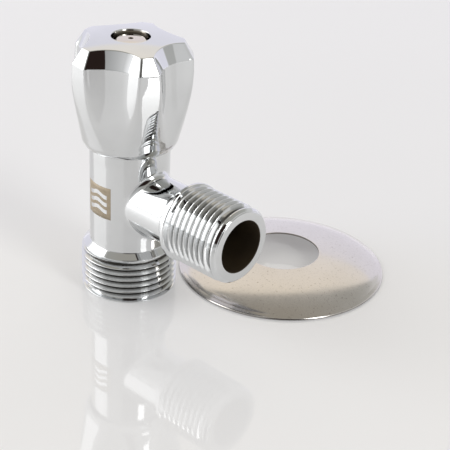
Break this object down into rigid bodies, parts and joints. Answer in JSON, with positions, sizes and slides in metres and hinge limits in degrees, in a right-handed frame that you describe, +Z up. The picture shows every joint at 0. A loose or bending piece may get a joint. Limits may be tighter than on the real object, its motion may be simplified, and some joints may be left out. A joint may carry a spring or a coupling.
{
  "type": "angle stop valve",
  "caption": "Chromed angle stop valve with a lobed screw-down handle, a threaded side inlet, a larger threaded bottom outlet and a loose round wall escutcheon.",
  "frame": {"origin": "centre of the footprint of the valve and its escutcheon together, on the surface they stand on", "axes": "+Z up along the valve's own axis, +X along the inlet branch towards its mouth, +Y from the valve towards the escutcheon"},
  "size_m": [0.0708, 0.0834, 0.0724],
  "materials": {
    "chromed_brass": "bright chrome plate on turned and cast brass",
    "chromed_zinc": "bright chrome plate on a smooth die casting",
    "bare_brass": "turned brass, unplated",
    "spun_stainless": "polished spun stainless sheet, faintly hazy",
    "zinc_steel": "zinc-plated steel",
    "black_rubber": "matt black moulded rubber",
    "fibre": "pressed red fibre",
    "slip_plastic": "smooth white slip plastic",
    "hub_plastic": "off-white moulded plastic"
  },
  "bodies": {
    "valve": {"valve_body": "chromed_brass", "bonnet": "bare_brass", "bonnet_gasket": "fibre", "spindle_thrust_washer": "slip_plastic"},
    "handle": {"handle_shell": "chromed_zinc", "handle_insert": "hub_plastic", "handle_screw": "zinc_steel", "handle_screw_washer": "zinc_steel", "handle_cap": "chromed_zinc", "spindle": "bare_brass", "spindle_o_ring_lower": "black_rubber", "spindle_o_ring_upper": "black_rubber", "spindle_circlip": "zinc_steel"},
    "plunger": {"plunger": "bare_brass", "seat_washer": "black_rubber", "seat_washer_screw": "bare_brass"},
    "escutcheon": {"escutcheon": "spun_stainless"}
  },
  "joints": [
    {"name": "handle_turn", "type": "hinge", "parent": "valve", "child": "handle", "pos_m": [-0.0188, -0.02511, 0.05], "axis": [0, 0, 1], "range_deg": [0, 810]},
    {"name": "plunger_lift", "type": "slide", "parent": "valve", "child": "plunger", "axis": [0, 0, 1], "range_m": [0, 0.00338]},
    {"name": "escutcheon_slide", "type": "slide", "parent": "valve", "child": "escutcheon", "axis": [0, 1, 0], "range_m": [0, 0.06]}
  ],
  "couplings": [
    {"joint": "plunger_lift", "follows": "handle_turn", "m_per_rad": 0.00023873}
  ]
}
